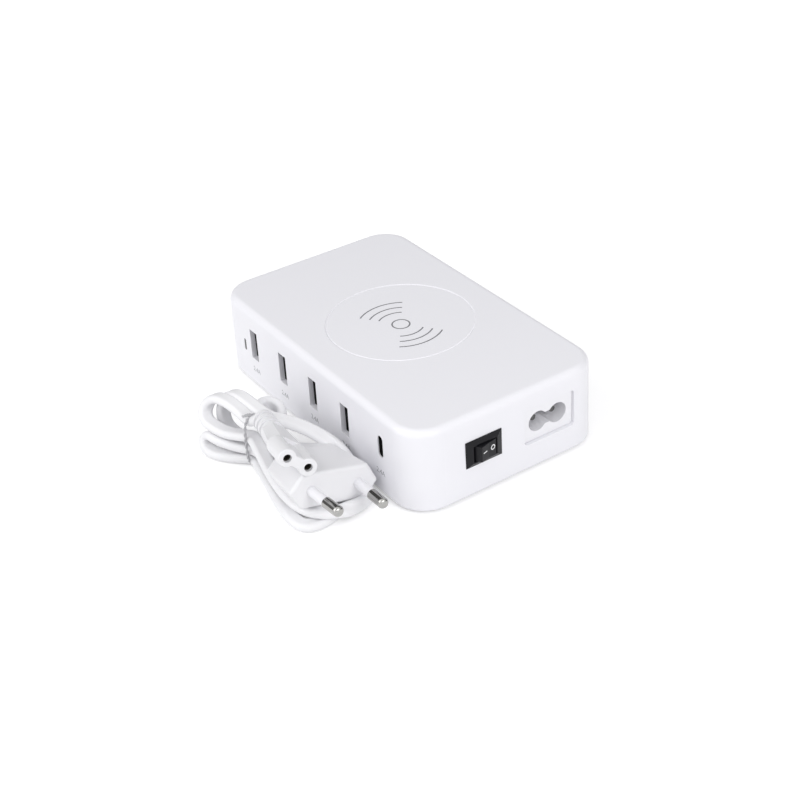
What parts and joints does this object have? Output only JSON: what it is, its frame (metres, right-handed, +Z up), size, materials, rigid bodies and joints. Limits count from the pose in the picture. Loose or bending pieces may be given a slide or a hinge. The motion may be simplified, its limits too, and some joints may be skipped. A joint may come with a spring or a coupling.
{
  "type": "phone charger",
  "caption": "White desktop charging station with upright USB sockets along one side, a wireless charging top, a rocker switch and mains inlet at one end, and its tied mains lead.",
  "frame": {"origin": "on the table, under the middle of the station's footprint, rocker included", "axes": "X along the long side with the switch and inlet at +X, -Y the side with the USB sockets, Z up"},
  "size_m": [0.1376, 0.1202, 0.0337],
  "materials": {
    "white_shell": "satin white moulding",
    "white_plastic": "white moulding",
    "black_plastic": "black moulding",
    "foot_rubber": "grey rubber",
    "steel": "bright steel",
    "plated_pins": "bright plating",
    "brass_contacts": "brass",
    "copper_winding": "enamelled copper",
    "board_laminate": "green laminate",
    "dark_ferrite": "dark ferrite",
    "light_pipe": "smoked clear plastic",
    "can_aluminium": "aluminium",
    "yellow_case": "yellow case",
    "fuse_glass": "glass tube",
    "wire_jacket": "dark wire jacket",
    "lead_white": "white flexible jacket"
  },
  "bodies": {
    "station": {"base_plate": "white_plastic", "board_screws": "steel", "bridge_rectifier": "black_plastic", "bulk_capacitor": "can_aluminium", "case_screws": "steel", "charging_coil": "copper_winding", "coil_ferrite": "dark_ferrite", "connector_contacts": "brass_contacts", "foot_front_left": "foot_rubber", "foot_front_right": "foot_rubber", "foot_rear_left": "foot_rubber", "foot_rear_right": "foot_rubber", "fuse": "fuse_glass", "heat_sink": "can_aluminium", "housing": "white_shell", "indicator_led": "yellow_case", "indicator_light_pipe": "light_pipe", "inlet_body": "white_plastic", "inlet_pin_1": "plated_pins", "inlet_pin_2": "plated_pins", "lead_connector": "lead_white", "lead_hank": "lead_white", "lead_plug": "lead_white", "lead_tie": "lead_white", "line_choke": "copper_winding", "main_board": "board_laminate", "output_capacitors": "can_aluminium", "plug_pins": "plated_pins", "plug_sleeves": "white_plastic", "switch_frame": "black_plastic", "switch_terminal_line": "brass_contacts", "switch_terminal_load": "brass_contacts", "transformer_core": "dark_ferrite", "transformer_winding": "copper_winding", "usb_a_contacts_1": "brass_contacts", "usb_a_contacts_2": "brass_contacts", "usb_a_contacts_3": "brass_contacts", "usb_a_contacts_4": "brass_contacts", "usb_a_shell_1": "steel", "usb_a_shell_2": "steel", "usb_a_shell_3": "steel", "usb_a_shell_4": "steel", "usb_a_tongue_1": "black_plastic", "usb_a_tongue_2": "black_plastic", "usb_a_tongue_3": "black_plastic", "usb_a_tongue_4": "black_plastic", "usb_board": "board_laminate", "usb_c_shell": "steel", "usb_c_tongue": "black_plastic", "wire_inlet_to_board": "wire_jacket", "wire_inlet_to_switch": "wire_jacket", "wire_switch_to_board": "wire_jacket", "wireless_board": "board_laminate", "wireless_screws": "steel", "wireless_wires": "wire_jacket", "x_capacitor": "yellow_case"},
    "rocker": {"switch_rocker": "black_plastic"}
  },
  "joints": [
    {"name": "rocker_turn", "type": "hinge", "parent": "station", "child": "rocker", "pos_m": [0.06438, -0.0122, 0.0184], "axis": [0, 0, -1], "range_deg": [0, 26]}
  ]
}
